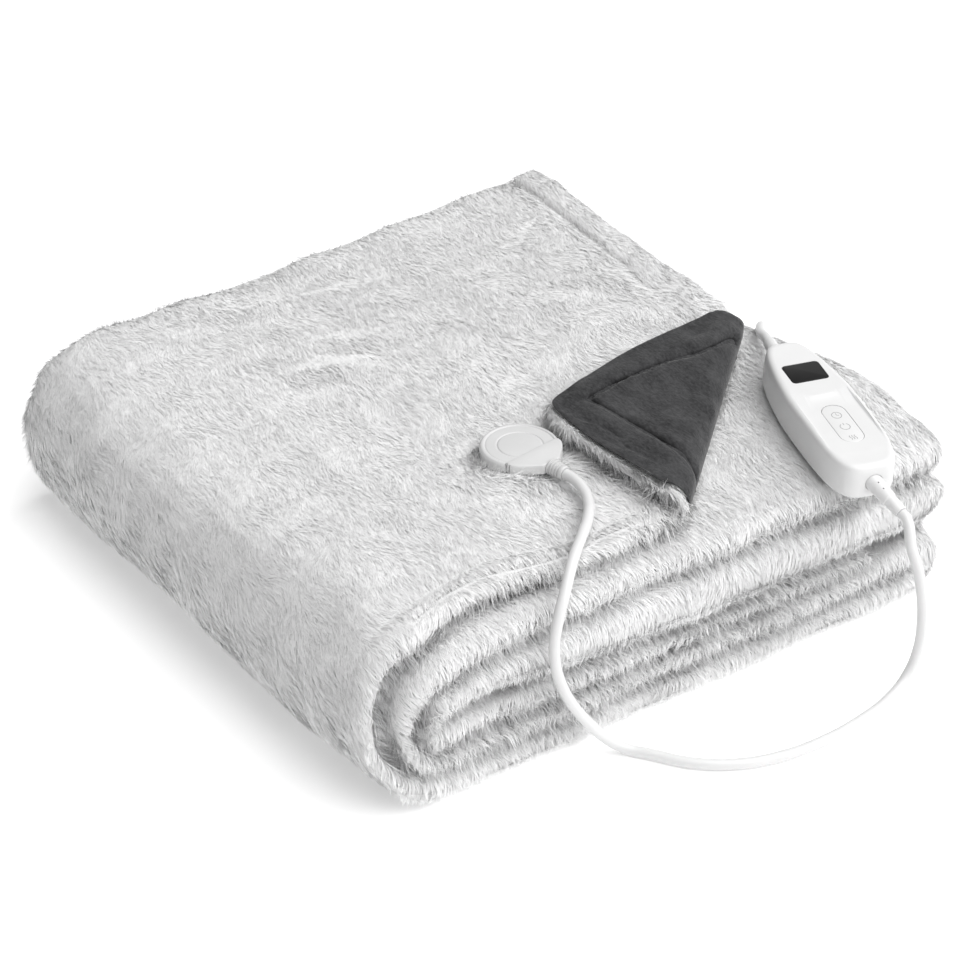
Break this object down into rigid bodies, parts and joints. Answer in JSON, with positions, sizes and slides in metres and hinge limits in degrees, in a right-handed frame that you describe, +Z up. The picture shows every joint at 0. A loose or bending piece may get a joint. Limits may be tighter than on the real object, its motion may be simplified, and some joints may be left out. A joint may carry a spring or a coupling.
{
  "type": "electric heated throw blanket",
  "caption": "Folded faux-fur heated throw with a turned-back lined corner, plug-in lead, hand controller and mains lead.",
  "frame": {"origin": "centre of the footprint of the folded throw with its controller, on the surface that it lies on", "axes": "+Z up; +X along the side that shows the ends of the folds, towards the two folds on the right; +Y away from that side"},
  "size_m": [0.4522, 0.5996, 0.1439],
  "materials": {
    "fur": "soft long-pile faux fur, silver white with darker roots",
    "lining": "short-pile flannel, charcoal",
    "connector_plastic": "moulded, white",
    "controller_plastic": "moulded, white",
    "display_window": "polished, near black",
    "keypad_film": "satin film, white",
    "lead_vinyl": "smooth vinyl, white",
    "relief_vinyl": "moulded vinyl, white",
    "tie_strap": "soft strap, light grey",
    "plug_plastic": "moulded, white",
    "pin_metal": "nickel plated"
  },
  "bodies": {
    "root": {"throw_cloth": "fur", "corner_lining": "lining", "blanket_socket": "connector_plastic", "lead_plug": "connector_plastic", "lead_plug_relief": "connector_plastic", "connector_lead": "lead_vinyl", "lead_relief": "relief_vinyl", "controller_housing": "controller_plastic", "controller_display": "display_window", "controller_keypad": "keypad_film", "mains_relief": "relief_vinyl", "mains_lead": "lead_vinyl", "mains_coil": "lead_vinyl", "coil_tie": "tie_strap", "mains_tail": "lead_vinyl", "mains_plug_relief": "relief_vinyl", "mains_plug": "plug_plastic", "mains_pin_left": "pin_metal", "mains_pin_right": "pin_metal"}
  },
  "joints": []
}
